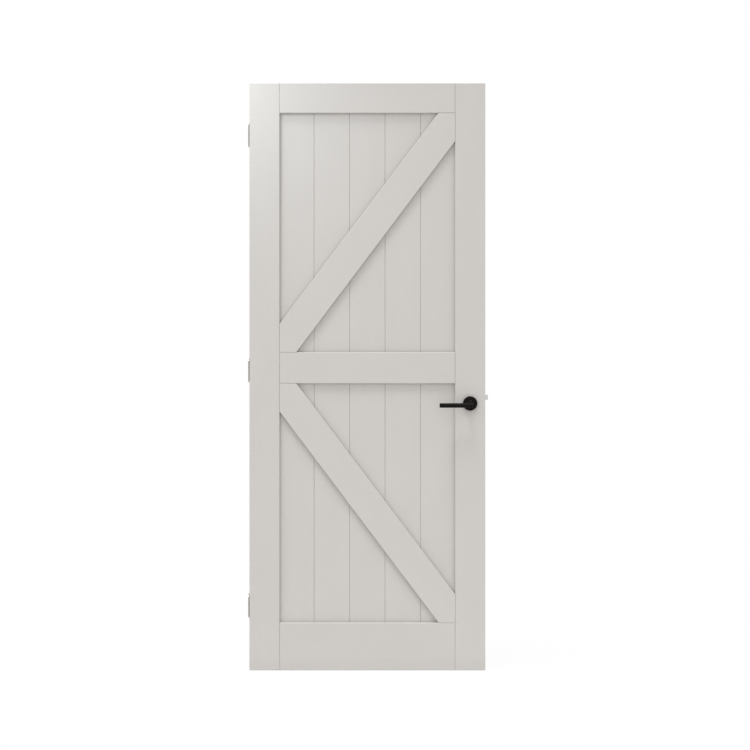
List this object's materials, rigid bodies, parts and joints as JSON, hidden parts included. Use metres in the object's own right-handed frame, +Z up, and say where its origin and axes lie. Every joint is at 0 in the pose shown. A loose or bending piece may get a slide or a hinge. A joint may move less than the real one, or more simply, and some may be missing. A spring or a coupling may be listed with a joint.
{
  "type": "interior door",
  "caption": "Painted interior door leaf of stiles and rails with boarded panels and flush diagonal braces, black lever set, spring latch and butt hinges.",
  "frame": {"origin": "middle of the leaf's bottom edge, halfway through its thickness", "axes": "+X to the right and +Y away from a viewer who faces the front, +Z up"},
  "size_m": [0.9495, 0.158, 2.315],
  "materials": {
    "painted_wood": "satin paint",
    "dowel_wood": "bare beech",
    "black_metal": "matt black powder coat",
    "black_nylon": "moulded",
    "zinc_plated_steel": "zinc plated",
    "satin_steel": "satin stainless",
    "spring_steel": "drawn wire"
  },
  "bodies": {
    "hinge_frame_side": {"hinge_1_frame_leaf": "satin_steel", "hinge_1_pin": "satin_steel", "hinge_2_frame_leaf": "satin_steel", "hinge_2_pin": "satin_steel", "hinge_3_frame_leaf": "satin_steel", "hinge_3_pin": "satin_steel"},
    "leaf": {"hinge_stile": "painted_wood", "lock_stile": "painted_wood", "top_rail": "painted_wood", "middle_rail": "painted_wood", "bottom_rail": "painted_wood", "front_upper_brace": "painted_wood", "front_lower_brace": "painted_wood", "rear_upper_brace": "painted_wood", "rear_lower_brace": "painted_wood", "upper_board_1": "painted_wood", "upper_board_2": "painted_wood", "upper_board_3": "painted_wood", "upper_board_4": "painted_wood", "upper_board_5": "painted_wood", "lower_board_1": "painted_wood", "lower_board_2": "painted_wood", "lower_board_3": "painted_wood", "lower_board_4": "painted_wood", "lower_board_5": "painted_wood", "frame_dowels": "dowel_wood", "front_rose_cover": "black_metal", "rear_rose_cover": "black_metal", "front_lever_bush": "black_nylon", "rear_lever_bush": "black_nylon", "front_rose_base": "zinc_plated_steel", "rear_rose_base": "zinc_plated_steel", "rose_screws": "zinc_plated_steel", "lock_case": "zinc_plated_steel", "lock_cover": "zinc_plated_steel", "lock_cover_screws": "zinc_plated_steel", "lock_forend": "satin_steel", "forend_screws": "satin_steel", "hinge_screws": "satin_steel", "latch_spring": "spring_steel", "follower_spring": "spring_steel", "hinge_1_door_leaf": "satin_steel", "hinge_2_door_leaf": "satin_steel", "hinge_3_door_leaf": "satin_steel"},
    "handle": {"front_lever": "black_metal", "rear_lever": "black_metal", "spindle": "zinc_plated_steel", "lever_grub_screws": "black_metal", "follower": "zinc_plated_steel"},
    "latch": {"latch_bolt": "satin_steel"}
  },
  "joints": [
    {"name": "door_swing", "type": "hinge", "parent": "hinge_frame_side", "child": "leaf", "pos_m": [-0.4665, 0.0265, 1.1825], "axis": [0, 0, 1], "range_deg": [0, 170]},
    {"name": "lever_turn", "type": "hinge", "parent": "leaf", "child": "handle", "pos_m": [0.405, 0, 1.052], "axis": [0, -1, 0], "range_deg": [0, 40], "stiffness_Nm_per_rad": 1.5, "springref_deg": -20.05, "deforming": ["follower_spring"]},
    {"name": "latch_slide", "type": "slide", "parent": "leaf", "child": "latch", "axis": [-1, 0, 0], "range_m": [0, 0.0115], "deforming": ["latch_spring"]}
  ],
  "couplings": [
    {"joint": "latch_slide", "follows": "lever_turn", "m_per_rad": 0.01647}
  ]
}
